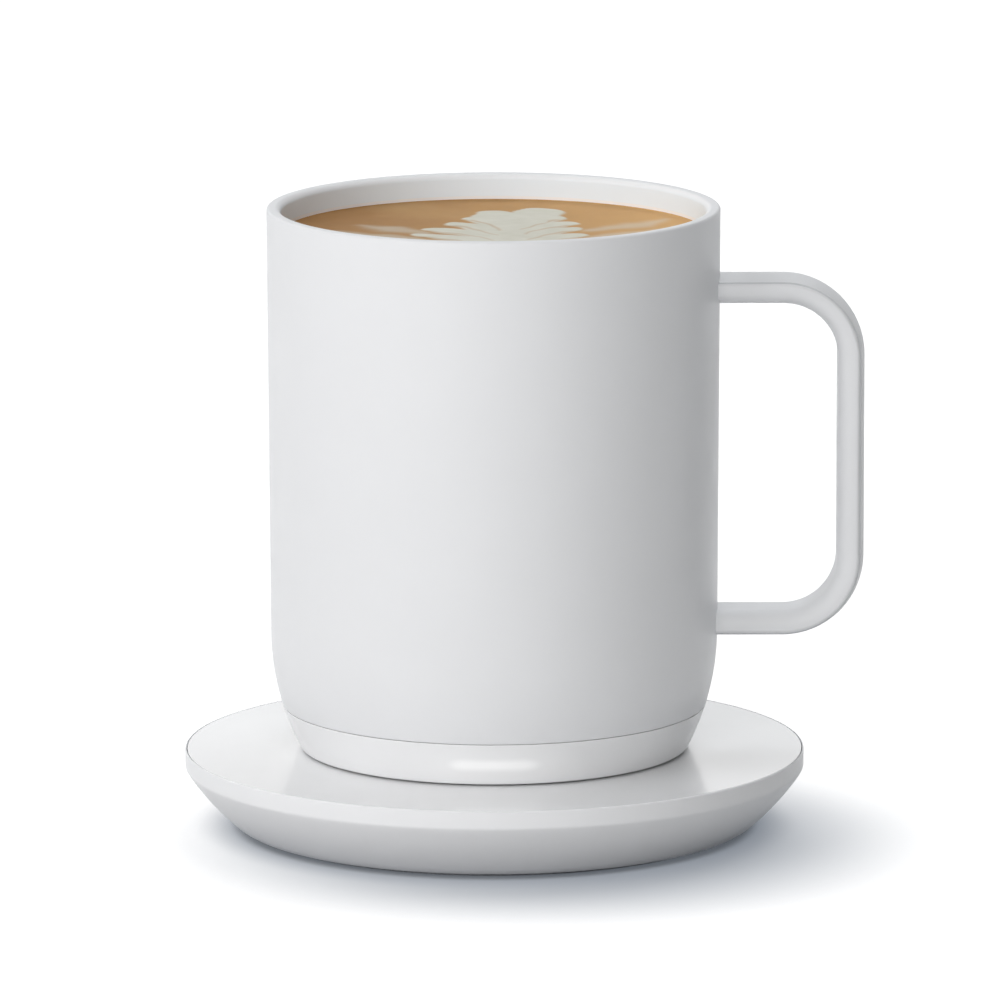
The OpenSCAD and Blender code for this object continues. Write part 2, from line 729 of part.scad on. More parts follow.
module button_seal() color([0.2, 0.2, 0.22]) on_seat()
    translate([0, button_y, button_seal_z]) rotate_extrude()
        translate([button_r + fit + button_seal_r, 0]) circle(button_seal_r);

module power_button() color([0.9, 0.9, 0.91]) on_seat() translate([0, button_y, 0]) {
    disc(button_r, button_low, plate_top);
    disc(flange_r, plate_top, flange_top);
}

module switch_plunger() color([0.15, 0.15, 0.16]) on_seat() translate([0, button_y, 0])
    disc(plunger_r, flange_top, plunger_top);

// Coaster

module coaster_top() color([0.95, 0.95, 0.95]) {
    difference() {
        disc(top_r, top_low, coaster_h);
        disc(block_r + fit, 0, coaster_h + 1);
    }
    around(coaster_screw_angles, coaster_screw_r) difference() {
        disc(coaster_post_r, floor_top, top_low + eps);
        disc(big_screw_d / 2 + fit / 2, 0, top_low - 1);
    }
}

// Where the inlet sits in the body: nose bore and plug recess
module inlet_room() translate([0, 0, jack_z]) rotate([-90, 0, 0]) {
    translate([0, 0, jack_back]) cylinder(r = jack_nose_r + fit, h = coaster_r);
    translate([0, 0, recess_y]) cylinder(d = recess_d, h = coaster_r);
}

// Hollow of the body, with the inlet's boss and the board's stands left standing in it
module coaster_hollow() difference() {
    rotate_extrude() {
        saucer_outline(body_t, floor_top, band_low);
        translate([0, band_low - eps]) square([coaster_r - rim_edge - ledge_w, coaster_h]);
        translate([0, top_low]) square([coaster_r - rim_edge, coaster_h]);
    }
    translate([-boss_w / 2, jack_front, 0]) cube([boss_w, coaster_r, top_low]);
    around([90, 210, 330], base_r - 3) disc(2, 0, base_low);
}

module coaster_body() color([0.94, 0.94, 0.94]) difference() {
    rotate_extrude() saucer_outline(0, foot_proud, coaster_h);
    coaster_hollow();
    disc(foot_d / 2 + fit, 0, floor_low);
    around(coaster_screw_angles, coaster_screw_r) disc(big_screw_d / 2 + fit, 0, floor_top + 1);
    around(coaster_screw_angles, coaster_screw_r) disc(big_head_d / 2 + fit, 0, floor_low + body_t / 2);
    inlet_room();
}

module coaster_foot() color([0.82, 0.82, 0.83]) disc(foot_d / 2, 0, foot_t);

module coaster_screws() color([0.55, 0.55, 0.56]) around(coaster_screw_angles, coaster_screw_r)
    screw(big_screw_d, big_head_d, body_t / 2, floor_low, top_low - 2);

module coaster_board() color([0.16, 0.34, 0.24]) disc(base_r, base_low, base_top);

module coaster_chips() color([0.13, 0.13, 0.14]) {
    translate([0, block_r + choke_d, 0]) slab(chip_w, small_chip_w, base_top, base_top + capacitor_w);
    for (x = [-1, 1]) translate([x * diode_x, block_r + diode_y, 0])
        slab(choke_w, diode_w, base_top, base_top + diode_h);
    translate([-block_r - choke_d, 0, 0]) slab(can_w, can_w, base_top, base_top + can_h);
}

pin_places = [[0, 0, 0], [pin_pitch, 0, 0]];

module contact_block() color([0.9, 0.9, 0.9]) difference() {
    union() {
        disc(block_r, base_top, coaster_h);
        disc(collar_r, top_low - gasket_t - collar_t, top_low - gasket_t);
    }
    for (p = pin_places) translate(p) {
        disc(pin_r + fit / 2, 0, coaster_h + 1);
        disc(chamber_r, 0, shoulder_top);
    }
}

module contact_gasket() color([0.3, 0.3, 0.32])
    ring(block_r + play, collar_r - play, top_low - gasket_t, top_low);

module contact_pin() {
    disc(pin_r, shoulder_top - eps, pin_top - pin_r / 2);
    translate([0, 0, pin_top - pin_r / 2]) cylinder(r1 = pin_r, r2 = pin_r / 2, h = pin_r / 2);
    disc(shoulder_out, shoulder_top - shoulder_t, shoulder_top);
    disc(tail_r, tail_low, shoulder_top - shoulder_t + eps);
}

module pin_center() color([0.85, 0.7, 0.4]) translate(pin_places[0]) contact_pin();

module pin_outer() color([0.85, 0.7, 0.4]) translate(pin_places[1]) contact_pin();

// Spring coil under a pin, and the least gap between its turns
coil_steps = spring_turns * 8;
coil = [for (i = [0:coil_steps]) [
    spring_r * cos(45 * i), spring_r * sin(45 * i),
    base_top + spring_wire + eps + spring_h * i / coil_steps]];
echo(least_spring_gap = min([for (i = [0:coil_steps - 8]) norm(coil[i + 8] - coil[i])]) - 2 * spring_wire);

module pin_spring_center() color([0.6, 0.6, 0.62])
    translate(pin_places[0]) tube(coil, spring_wire, 6, [0, 0, 1]);

module pin_spring_outer() color([0.6, 0.6, 0.62])
    translate(pin_places[1]) tube(coil, spring_wire, 6, [0, 0, 1]);

// Power inlet

module dc_jack() color([0.12, 0.12, 0.13]) difference() {
    union() {
        translate([-jack_w / 2, jack_back, floor_top]) cube([jack_w, jack_front - jack_back, jack_h]);
        translate([0, jack_front - eps, jack_z]) rotate([-90, 0, 0])
            cylinder(r = jack_nose_r, h = jack_wall + eps);
    }
    translate([0, recess_y - jack_depth, jack_z]) rotate([-90, 0, 0])
        cylinder(d = jack_bore_d, h = jack_depth + 1);
    translate([0, jack_back - 1, jack_z]) rotate([-90, 0, 0]) cylinder(r = root_r + fit / 2, h = jack_depth);
}

// The pin stands on the floor of the bore, held by a thinner root in the housing's back wall
module jack_pin() color([0.8, 0.8, 0.8]) translate([0, 0, jack_z]) rotate([-90, 0, 0]) {
    translate([0, 0, recess_y - jack_depth]) cylinder(d = jack_pin_d, h = jack_depth - pin_set_in);
    translate([0, 0, jack_back]) cylinder(r = root_r, h = jack_rear + eps);
}

module jack_leads() color([0.15, 0.15, 0.16]) for (s = [-1, 1]) {
    from = [s * jack_w / 3, jack_back, jack_z];
    to = [s * jack_w, base_r - 3, base_top];
    tube(lead(from, [0, -3.5, 0], to, [0, 0, 3.5], 10), lead_r, 8, [1, 0, 0]);
}

outer_shell();
inner_cup();
handle();
base_ring();
base_seal();
base_plate();
foot_ring();
contact_center();
contact_ring();
main_board();
board_chips();
power_inductor();
board_connectors();
led_board();
indicator_leds();
light_guide();
tact_switch();
battery_tray();
battery_cell_front();
battery_cell_back();
cell_tabs();
battery_leads();
heater_film();
heater_track();
heater_leads();
insulation_pad();
temp_sensor();
level_strip();
cup_studs();
stud_nuts();
plate_screws();
board_screws();
button_seal();
power_button();
switch_plunger();
coaster_top();
coaster_body();
coaster_foot();
coaster_screws();
coaster_board();
coaster_chips();
contact_block();
contact_gasket();
pin_center();
pin_outer();
pin_spring_center();
pin_spring_outer();
dc_jack();
jack_pin();
jack_leads();
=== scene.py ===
"""Looks of the self-heating mug on its charging coaster: shells, drink, materials, light and camera."""

import math

import bmesh
import bpy
import numpy as np
from mathutils import Matrix, Vector


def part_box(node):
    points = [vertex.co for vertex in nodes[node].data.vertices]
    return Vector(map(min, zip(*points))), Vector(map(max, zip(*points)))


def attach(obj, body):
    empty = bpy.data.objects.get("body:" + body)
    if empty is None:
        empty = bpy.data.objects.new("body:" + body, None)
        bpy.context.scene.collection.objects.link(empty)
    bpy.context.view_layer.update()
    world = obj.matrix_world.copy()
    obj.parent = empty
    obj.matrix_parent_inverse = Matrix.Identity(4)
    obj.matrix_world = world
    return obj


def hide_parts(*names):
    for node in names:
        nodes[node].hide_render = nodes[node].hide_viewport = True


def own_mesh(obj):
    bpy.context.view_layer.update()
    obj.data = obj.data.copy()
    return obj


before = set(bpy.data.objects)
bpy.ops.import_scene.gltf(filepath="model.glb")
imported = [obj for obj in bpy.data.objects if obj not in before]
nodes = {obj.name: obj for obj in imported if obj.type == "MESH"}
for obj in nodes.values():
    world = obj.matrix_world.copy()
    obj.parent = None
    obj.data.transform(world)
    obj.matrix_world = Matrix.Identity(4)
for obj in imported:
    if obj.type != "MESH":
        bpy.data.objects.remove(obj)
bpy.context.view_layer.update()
scene = bpy.context.scene

MM = 0.001

# Sizes of the mug, in millimetres; heights count from its seat on the coaster
SEAT = 14.0
RIM_R, MUG_H, LIP_T, LIP_RETURN = 40.0, 97.0, 2.5, 4.0
LIP_OUT_R, LIP_IN_R = 0.5, 1.1
WAIST_R, TUCK_H, TUCK_R = 39.6, 21.3, 45.0
SHELL_T, SHELL_EDGE_R = 0.8, 0.13
CUP_T, CUP_R, CUP_CORNER, CUP_LOW, CUP_FLOOR = 0.8, 37.5, 8.0, 24.6, 25.4
SEAM_H, SEAM_GAP, FOOT_GAP = 8.1, 0.1, 0.25
RING_T, RING_EDGE_R, FOOT_EDGE_R = 1.8, 0.12, 0.42
SPIGOT_H, SPIGOT_T, SPIGOT_PLAY, SPIGOT_ROOT, SPIGOT_SLOPE = 4.5, 2.2, 0.1, 2.0, 1.0

# Sizes of the handle; its groove's points are (below the crown's edge, in from the strip's side)
REACH, HANDLE_TOP, HANDLE_LOW, HANDLE_CORNER, HANDLE_ROOT = 64.6, 84.1, 21.3, 13.5, 38.95
STRIP_W, STRIP_T, STRIP_CROWN, SHOULDER_R = 12.0, 3.9, 0.9, 2.8
CROWN_IN, BESIDE_R, BESIDE_LOW = 0.6, 0.8, 0.75
GROOVE = [(0.05, 0.56), (0.35, 0.5), (0.35, 0.4)]
GROOVE_OUT = (0.1, 0.34)
CREASE_NEAR, CREASE_FAR, CREASE_LOW = 0.33, 0.58, -0.5
BEND_ROW = 0.4

# Sizes of the coaster; its edges' points are (in from the outside, down from the corner)
COASTER_R, TAPER_R, BAND_LOW, FOOT_PROUD, BULGE = 55.0, 45.85, 10.8, 0.8, 0.5
COASTER_T, LEDGE_W, PAD_R, PAD_TOP = 1.8, 3.0, 43.1, 1.6
TRAY_R, TRAY_FLOOR, TRAY_CLEAR = 45.2, 3.4, 0.2
FOOT_EDGE = [(0.5, 0.0), (0.12, -0.1)]
BAND_EDGE = [(0.22, 0.25), (0.04, -0.05), (0.0, -0.35), (0.0, -0.8)]
LIP_EDGE = [(0.0, 0.32), (0.04, 0.12), (0.11, 0.03), (0.17, 0.0), (0.23, 0.02), (0.27, 0.1)]
PLATE_R, PLATE_LOW, PLATE_EDGE_R, PLATE_HOLE_R, HOLE_EDGE_R = 54.62, 12.0, 0.16, 16.1, 0.25
PLATE_ROWS = (30, 40, 50)
INLET_Z, RECESS_R, RECESS_Y = 6.9, 4.7, 47.0
COLLAR_R, COLLAR_BORE, COLLAR_BACK, COLLAR_EDGE = 6.4, 4.05, 44.5, 0.3
COLLAR_PLAY, COLLAR_SINK = 0.02, 0.06
CUT_NEAR, CUT_FAR = 40.0, 60.0
WIRE_R, COIL_TURNS, COIL_STEPS, PIN_TRAVEL = 0.2, 6, 24, 0.8

# Drink: its level above the floor, the rows of its surface, and where it climbs the wall as (in, up)
DRINK_Z, DRINK_PLAY, FOAM_RISE, FOAM_DEPTH = 106.25, 0.04, 0.12, 1.0
DRINK_START, DRINK_STEP, DRINK_ROWS = 0.2, 0.2925, 120
CLIMB = [(1.6, 0.01), (1.0, 0.03), (0.5, 0.08), (0.2, 0.14), (0.0, 0.2)]

# Sides of the round pieces; the inlet's corners miss the coaster's own, so that its cuts stay clean
ROUND_SIDES, DRINK_SIDES, INLET_SIDES = 224, 288, 70


def body_r(z):
    """Outside radius of the mug at a height above its seat."""
    if z > TUCK_H:
        return WAIST_R + (RIM_R - WAIST_R) * (z - TUCK_H) / (MUG_H - TUCK_H)
    return WAIST_R - TUCK_R + math.sqrt(TUCK_R**2 - (TUCK_H - z) ** 2)


# Mesh helpers


def arc(cx, cy, r, start, end, steps):
    """Points along an arc, angles in degrees."""
    turns = [math.radians(start + (end - start) * i / steps) for i in range(steps + 1)]
    return [(cx + r * math.cos(a), cy + r * math.sin(a)) for a in turns]


def line(a, b, steps):
    """Points along a straight line, both ends included."""
    shares = [i / steps for i in range(steps + 1)]
    return [(a[0] + (b[0] - a[0]) * t, a[1] + (b[1] - a[1]) * t) for t in shares]


def soften(corners, steps):
    """Rounds the corners of a closed outline; each corner is (x, y) or (x, y, radius)."""
    out = []
    most = 0.45
    count = len(corners)
    for i, corner in enumerate(corners):
        here = Vector(corner[:2])
        if len(corner) == 2:
            out.append(corner)
            continue
        before = Vector(corners[i - 1][:2]) - here
        after = Vector(corners[(i + 1) % count][:2]) - here
        half = before.angle(after) / 2
        reach = min(corner[2] / math.tan(half), most * before.length, most * after.length)
        first, last = here + before.normalized() * reach, here + after.normalized() * reach
        for t in (k / steps for k in range(steps + 1)):
            out.append(tuple(first * (1 - t) ** 2 + here * 2 * t * (1 - t) + last * t * t))
    return out


def to_mesh(name, shape):
    """Mesh of a closed bmesh, with its faces turned outward."""
    bmesh.ops.recalc_face_normals(shape, faces=shape.faces)
    mesh = bpy.data.meshes.new(name)
    shape.to_mesh(mesh)
    shape.free()
    return mesh


def soft_shading(mesh, sharp):
    """Smooth shading up to an angle in degrees."""
    mesh.shade_smooth()
    mesh.set_sharp_from_angle(angle=math.radians(sharp))


def finish_mesh(name, mesh, sharp=30):
    """Object of a mesh in millimetres, scaled to metres and shaded smooth."""
    mesh.transform(Matrix.Scale(MM, 4))
    soft_shading(mesh, sharp)
    piece = bpy.data.objects.new(name, mesh)
    scene.collection.objects.link(piece)
    return piece


def even_normals(piece):
    """Lets the large faces lead the shading, so that flats stay flat beside fine edges."""
    shade = piece.modifiers.new("even_normals", "WEIGHTED_NORMAL")
    shade.keep_sharp = True
    shade.weight = 80


def lathe_mesh(name, outline, segments=ROUND_SIDES):
    """Closed mesh turned about Z from a closed outline of (radius, height)."""
    shape = bmesh.new()
    turns = [2 * math.pi * k / segments for k in range(segments)]
    rings = []
    for r, z in outline:
        if r == 0:
            rings.append([shape.verts.new((0, 0, z))])
        else:
            rings.append([shape.verts.new((r * math.cos(a), r * math.sin(a), z)) for a in turns])
    for low, high in zip(rings, rings[1:] + rings[:1]):
        for k in range(segments):
            n = (k + 1) % segments
            corners = [low[k % len(low)], low[n % len(low)], high[n % len(high)], high[k % len(high)]]
            corners = list(dict.fromkeys(corners))
            if len(corners) > 2:
                shape.faces.new(corners)
    return to_mesh(name, shape)


def lathe(name, outline):
    """Piece turned about Z."""
    piece = finish_mesh(name, lathe_mesh(name, outline))
    even_normals(piece)
    return piece


def skin(name, rings):
    """Closed mesh over rings of points, with a face at either end."""
    shape = bmesh.new()
    rings = [[shape.verts.new(point) for point in ring] for ring in rings]
    count = len(rings[0])
    for a, b in zip(rings, rings[1:]):
        for k in range(count):
            n = (k + 1) % count
            shape.faces.new((a[k], a[n], b[n], b[k]))
    shape.faces.new(rings[0])
    shape.faces.new(rings[-1])
    return to_mesh(name, shape)


def place(piece, body, node, shader):
    """Rides the piece on its body in place of a CAD node and material."""
    piece.data.materials.clear()
    piece.data.materials.append(shader.material)
    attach(piece, body)
    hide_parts(node)


def lifted(outline):
    """The mug's outline, raised from its seat to the frame's heights."""
    return [(r, z + SEAT) for r, z in outline]


# Material helpers

NOISE_LOW, NOISE_HIGH = 0.3, 0.7
TONE_SCALE, GLOSS_SCALE, GLOSS_MOST = 0.05, 0.12, 0.3


class Shader:
    """A Principled material whose detail is placed by the piece's own coordinates."""

    def __init__(self, name, color, rough, metallic=0.0, specular=0.5):
        self.material = bpy.data.materials.new(name)
        self.material.use_nodes = True
        self.tree = self.material.node_tree
        self.surface = self.tree.nodes["Principled BSDF"]
        self.surface.inputs["Base Color"].default_value = (*color, 1)
        self.surface.inputs["Roughness"].default_value = rough
        self.surface.inputs["Metallic"].default_value = metallic
        self.surface.inputs["Specular IOR Level"].default_value = specular
        self.color, self.rough = color, rough
        self.place = self.node("ShaderNodeTexCoord").outputs["Object"]

    def node(self, kind, **settings):
        """New node with its settings."""
        node = self.tree.nodes.new(kind)
        for key, value in settings.items():
            setattr(node, key, value)
        return node

    def feed(self, source, target):
        """Links a socket to an input, or sets the input's own value."""
        if isinstance(source, bpy.types.NodeSocket):
            self.tree.links.new(source, target)
        else:
            target.default_value = source

    def math(self, operation, a, b=0.0):
        """Result of a math operation on two values."""
        node = self.node("ShaderNodeMath", operation=operation)
        self.feed(a, node.inputs[0])
        self.feed(b, node.inputs[1])
        return node.outputs[0]

    def length(self, a, b):
        """Length of a flat vector."""
        squares = [self.math("POWER", side, 2.0) for side in (a, b)]
        return self.math("SQRT", self.math("ADD", *squares))

    def span(self, value, low, high, to_low=0.0, to_high=1.0, smooth=False):
        """Maps a value from one range to another."""
        node = self.node("ShaderNodeMapRange", interpolation_type="SMOOTHSTEP" if smooth else "LINEAR")
        for socket, number in zip(node.inputs[1:5], (low, high, to_low, to_high)):
            self.feed(number, socket)
        self.feed(value, node.inputs[0])
        return node.outputs[0]

    def axes(self):
        """The place's x, y and z."""
        parts = self.node("ShaderNodeSeparateXYZ")
        self.feed(self.place, parts.inputs[0])
        return parts.outputs

    def noise(self, scale, detail=3.0, stretch=None):
        """Soft noise, scale per metre."""
        node = self.node("ShaderNodeTexNoise")
        node.inputs["Scale"].default_value = scale
        node.inputs["Detail"].default_value = detail
        where = self.place
        if stretch:
            shift = self.node("ShaderNodeMapping")
            shift.inputs["Scale"].default_value = stretch
            self.feed(where, shift.inputs["Vector"])
            where = shift.outputs[0]
        self.feed(where, node.inputs["Vector"])
        return node.outputs[0]

    def drift(self, scale, low, high, detail=3.0, stretch=None):
        """Noise spread over a range."""
        return self.span(self.noise(scale, detail, stretch), NOISE_LOW, NOISE_HIGH, low, high)

    def cells(self, scale):
        """Distance from the middles of scattered cells."""
        node = self.node("ShaderNodeTexVoronoi")
        node.inputs["Scale"].default_value = scale
        self.feed(self.place, node.inputs["Vector"])
        return node.outputs["Distance"]

    def mix(self, share, a, b):
        """Colour between two colours."""
        node = self.node("ShaderNodeMix", data_type="RGBA")
        self.feed(share, node.inputs[0])
        for color, socket in ((a, node.inputs[6]), (b, node.inputs[7])):
            self.feed(color if isinstance(color, bpy.types.NodeSocket) else (*color, 1), socket)
        return node.outputs[2]

    def paint(self, color):
        """Sets the base colour."""
        self.feed(color, self.surface.inputs["Base Color"])

    def coat(self):
        """The base colour's socket so far."""
        return self.surface.inputs["Base Color"].links[0].from_socket

    def tint(self, scale, amount):
        """Slight light and dark drift of the base colour."""
        dark, light = ([c * (1 + s * amount) for c in self.color] for s in (-1, 1))
        self.paint(self.mix(self.drift(scale, 0.0, 1.0), dark, light))

    def gloss(self, scale, amount, stretch=None):
        """Drift of the roughness about its value."""
        value = self.drift(scale, self.rough - amount, self.rough + amount, 2.0, stretch)
        self.feed(value, self.surface.inputs["Roughness"])

    def grain(self, height, strength, depth):
        """Bump from a height value, depth in millimetres."""
        node = self.node("ShaderNodeBump")
        node.inputs["Strength"].default_value = strength
        node.inputs["Distance"].default_value = depth * MM
        self.feed(height, node.inputs["Height"])
        self.feed(node.outputs[0], self.surface.inputs["Normal"])


def simple(
    name, color, rough, fine, depth,
    drift=0.04, metallic=0.0, specular=0.5, strength=0.3, stretch=None, sheen=0.05,
):
    """Material with drifting tone and gloss and a surface grain; fine is the grain's scale per metre."""
    shader = Shader(name, color, rough, metallic, specular)
    shader.tint(fine * TONE_SCALE, drift)
    shader.gloss(fine * GLOSS_SCALE, min(sheen, rough * GLOSS_MOST), stretch)
    shader.grain(shader.noise(fine, 2.0, stretch), strength, depth)
    return shader


# Materials of the mug's and the coaster's outside

COASTER_WHITE = (0.86, 0.864, 0.872)

mug_coat = simple("mug_coat", (0.795, 0.8, 0.81), 0.42, 1500, 0.012, drift=0.006)
cup_coat = simple("cup_coat", (0.9, 0.91, 0.925), 0.36, 1500, 0.008, drift=0.006)
coaster_coat = simple("coaster_plastic", COASTER_WHITE, 0.17, 900, 0.004, drift=0.006, sheen=0.015)
coaster_coat.surface.inputs["Coat Weight"].default_value = 0.8
coaster_coat.surface.inputs["Coat Roughness"].default_value = 0.15
coaster_side = simple(
    "coaster_side", COASTER_WHITE, 0.36, 900, 0.004, drift=0.006, specular=0.15, sheen=0.02
)
ring_plastic = simple("ring_plastic", (0.86, 0.862, 0.866), 0.22, 1300, 0.005, drift=0.006, sheen=0.02)


def enamel_lip_and_painted_cool(shader):
    """Paler enamel on the lip's inner half; down its inside, a painted cool tint against the drink's warm
    bounce light.
    """
    wall_r, lip_r = (CUP_R + 0.2) * MM, (CUP_R + LIP_IN_R) * MM
    wall_low, wall_high = 0.1, 0.104
    painted_cool_high, pale_low = 0.1097, 0.1109
    # Painted light: the cool colour cancels the warm bounce from the drink and lifts the inner wall's
    # shade.
    painted_cool, pale = (0.84, 0.925, 1.0), (0.88, 0.89, 0.9)
    x, y, z = shader.axes()
    inside = shader.span(shader.length(x, y), wall_r, lip_r, 1.0, 0.0, smooth=True)
    high = shader.span(z, wall_low, wall_high, smooth=True)
    enamel_and_painted_cool = shader.mix(shader.span(z, painted_cool_high, pale_low, smooth=True), painted_cool, pale)
    shader.paint(shader.mix(shader.math("MULTIPLY", inside, high), shader.coat(), enamel_and_painted_cool))


def painted_crease_shade(shader):
    """Painted shade: the coat is painted darker in the handle's creases, which the mesh marks."""
    depth, shade = 0.45, (0.42, 0.43, 0.45)
    crease = shader.node("ShaderNodeAttribute", attribute_name="crease").outputs["Fac"]
    shader.paint(shader.mix(shader.math("MULTIPLY", crease, depth), shader.coat(), shade))


def light_bar(shader):
    """Glow of the bar through the ring's front wall: a soft slot with fading ends and a faint halo."""
    slot_half, slot_z, end_slope, front_y = 0.0052, 0.0181, 0.42, -0.03
    core_r, halo_r, halo_share, strength = 0.0016, 0.0055, 0.35, 0.14
    x, y, z = shader.axes()
    past = shader.math("SUBTRACT", shader.math("ABSOLUTE", x), slot_half)
    across = shader.math("MULTIPLY", shader.math("MAXIMUM", past, 0.0), end_slope)
    away = shader.length(across, shader.math("SUBTRACT", z, slot_z))
    core = shader.span(away, 0.0, core_r, 1.0, 0.0, smooth=True)
    halo = shader.span(away, 0.0, halo_r, halo_share, 0.0, smooth=True)
    front = shader.math("LESS_THAN", y, front_y)
    glow = shader.math("MULTIPLY", shader.math("ADD", core, halo), front)
    shader.surface.inputs["Emission Color"].default_value = (1.0, 0.995, 0.97, 1)
    shader.feed(shader.math("MULTIPLY", glow, strength), shader.surface.inputs["Emission Strength"])


# Painted light on the mug's coat: a cool tint down the lip's inside, and shade in the handle's creases.
enamel_lip_and_painted_cool(mug_coat)
painted_crease_shade(mug_coat)
light_bar(ring_plastic)


# Materials of the pieces inside and underneath

plate_plastic = simple("plate_plastic", (0.7, 0.71, 0.72), 0.5, 2200, 0.02, drift=0.015)
button_plastic = simple("button_plastic", (0.76, 0.765, 0.775), 0.35, 1800, 0.01, drift=0.015)
soft_foot = simple("soft_foot", (0.6, 0.61, 0.62), 0.75, 1600, 0.04, drift=0.02)
seal_rubber = simple("seal_rubber", (0.06, 0.06, 0.065), 0.6, 1800, 0.02)
contact_metal = simple(
    "contact_metal", (0.83, 0.62, 0.3), 0.24, 900, 0.006, metallic=1.0, stretch=(1, 1, 6)
)
chip_black = simple("chip_black", (0.025, 0.025, 0.028), 0.55, 4000, 0.02)
plug_cream = simple("plug_cream", (0.72, 0.68, 0.58), 0.45, 1500, 0.01)
led_phosphor = simple("led_phosphor", (0.85, 0.72, 0.3), 0.3, 2000, 0.01)
guide_clear = simple("guide_clear", (0.86, 0.86, 0.84), 0.45, 1600, 0.02)
tray_grey = simple("tray_grey", (0.1, 0.105, 0.112), 0.5, 1200, 0.02)
steel = simple("steel", (0.58, 0.58, 0.59), 0.3, 1100, 0.006, metallic=1.0, stretch=(1, 1, 8))
lead_red = simple("lead_red", (0.42, 0.025, 0.02), 0.45, 1500, 0.02)
lead_black = simple("lead_black", (0.02, 0.02, 0.022), 0.45, 1500, 0.02)
film_amber = simple("film_amber", (0.48, 0.19, 0.03), 0.25, 700, 0.01, drift=0.1)
track_copper = simple("track_copper", (0.72, 0.33, 0.16), 0.35, 1200, 0.01, metallic=1.0)
felt = simple("foam", (0.66, 0.63, 0.56), 0.95, 2600, 0.15, drift=0.08, strength=0.7)
block_plastic = simple("block_plastic", (0.74, 0.742, 0.75), 0.45, 2000, 0.02, drift=0.012)


def circuit_board():
    """Green lacquer over copper lanes."""
    shader = Shader("board_green", (0.03, 0.14, 0.07), 0.35)
    lanes = shader.node("ShaderNodeTexBrick")
    lanes.inputs["Scale"].default_value = 260
    lanes.inputs["Color1"].default_value = (0.03, 0.15, 0.075, 1)
    lanes.inputs["Color2"].default_value = (0.045, 0.2, 0.1, 1)
    lanes.inputs["Mortar"].default_value = (0.06, 0.26, 0.13, 1)
    shader.feed(shader.place, lanes.inputs["Vector"])
    shader.paint(lanes.outputs["Color"])
    shader.gloss(300, 0.06)
    shader.grain(lanes.outputs["Fac"], 0.2, 0.02)
    return shader


def shrink_sleeve():
    """Blue sleeve of a battery cell, with faint bands."""
    shader = Shader("cell_sleeve", (0.03, 0.12, 0.3), 0.3)
    bands = shader.node("ShaderNodeTexWave")
    bands.inputs["Scale"].default_value = 8
    bands.inputs["Distortion"].default_value = 0.4
    shader.feed(shader.place, bands.inputs["Vector"])
    shader.paint(shader.mix(bands.outputs["Fac"], (0.025, 0.1, 0.26), (0.04, 0.15, 0.35)))
    shader.gloss(200, 0.05)
    shader.grain(shader.noise(500, 2.0), 0.2, 0.02)
    return shader


board_green = circuit_board()
cell_sleeve = shrink_sleeve()


# Mug shells


def side_points(z0, z1, steps, inset=0.0):
    """Points down or up the mug's side, or inside it by an inset."""
    return [(body_r(z) - inset, z) for z in (z0 + (z1 - z0) * i / steps for i in range(steps + 1))]


def side_edge(z, radius, steps, way):
    """Rounded edge of the mug's side, from its flat up to the side (way 1) or down to it (way -1)."""
    turns = [math.pi / 2 * i / steps for i in range(steps)]
    rises = [(radius * (1 - math.sin(a)), z + way * radius * (1 - math.cos(a))) for a in turns]
    return [(body_r(up) - inset, up) for inset, up in rises]


lip_z = MUG_H - LIP_T / 2
cup_top = MUG_H - LIP_RETURN
shell_outline = (
    side_edge(SEAM_H, SHELL_EDGE_R, 2, 1)
    + side_points(SEAM_H + SHELL_EDGE_R, TUCK_H, 16)
    + side_points(TUCK_H, lip_z, 24)[1:]
    + arc(RIM_R - LIP_OUT_R, MUG_H - LIP_OUT_R, LIP_OUT_R, 0, 90, 8)
    + arc(CUP_R + LIP_IN_R, MUG_H - LIP_IN_R, LIP_IN_R, 90, 180, 12)
    + line((CUP_R, MUG_H - LIP_IN_R), (CUP_R, cup_top), 4)[1:]
    + [(CUP_R + CUP_T, cup_top), (CUP_R + CUP_T, lip_z)]
    + side_points(lip_z, SEAM_H, 20, SHELL_T)
)
place(lathe("mug_shell", lifted(shell_outline)), "mug", "outer_shell", mug_coat)

corner_x, corner_z = CUP_R - CUP_CORNER, CUP_FLOOR + CUP_CORNER
cup_outline = (
    line((0, CUP_FLOOR), (corner_x, CUP_FLOOR), 5)
    + arc(corner_x, corner_z, CUP_CORNER, -90, 0, 12)[1:]
    + line((CUP_R, corner_z), (CUP_R, cup_top), 16)[1:]
    + line((CUP_R + CUP_T, cup_top), (CUP_R + CUP_T, corner_z), 8)
    + arc(corner_x, corner_z, CUP_CORNER + CUP_T, 0, -90, 10)[1:]
    + [(0, CUP_LOW)]
)
place(lathe("mug_cup", lifted(cup_outline)), "mug", "inner_cup", cup_coat)

ring_top = SEAM_H - SEAM_GAP
spigot_in = SHELL_T + SPIGOT_PLAY
spigot_low = SEAM_H - SPIGOT_ROOT
ring_outline = (
    side_edge(FOOT_GAP, FOOT_EDGE_R, 3, 1)
    + side_points(FOOT_GAP + FOOT_EDGE_R, ring_top - RING_EDGE_R, 12)
    + side_edge(ring_top, RING_EDGE_R, 2, -1)[::-1]
    + side_points(ring_top, SEAM_H + SPIGOT_H, 5, spigot_in)
    + side_points(SEAM_H + SPIGOT_H, spigot_low, 4, spigot_in + SPIGOT_T)
    + side_points(spigot_low - SPIGOT_SLOPE, FOOT_GAP, 4, RING_T)
)
place(lathe("mug_base_ring", lifted(ring_outline)), "mug", "base_ring", ring_plastic)


# Handle


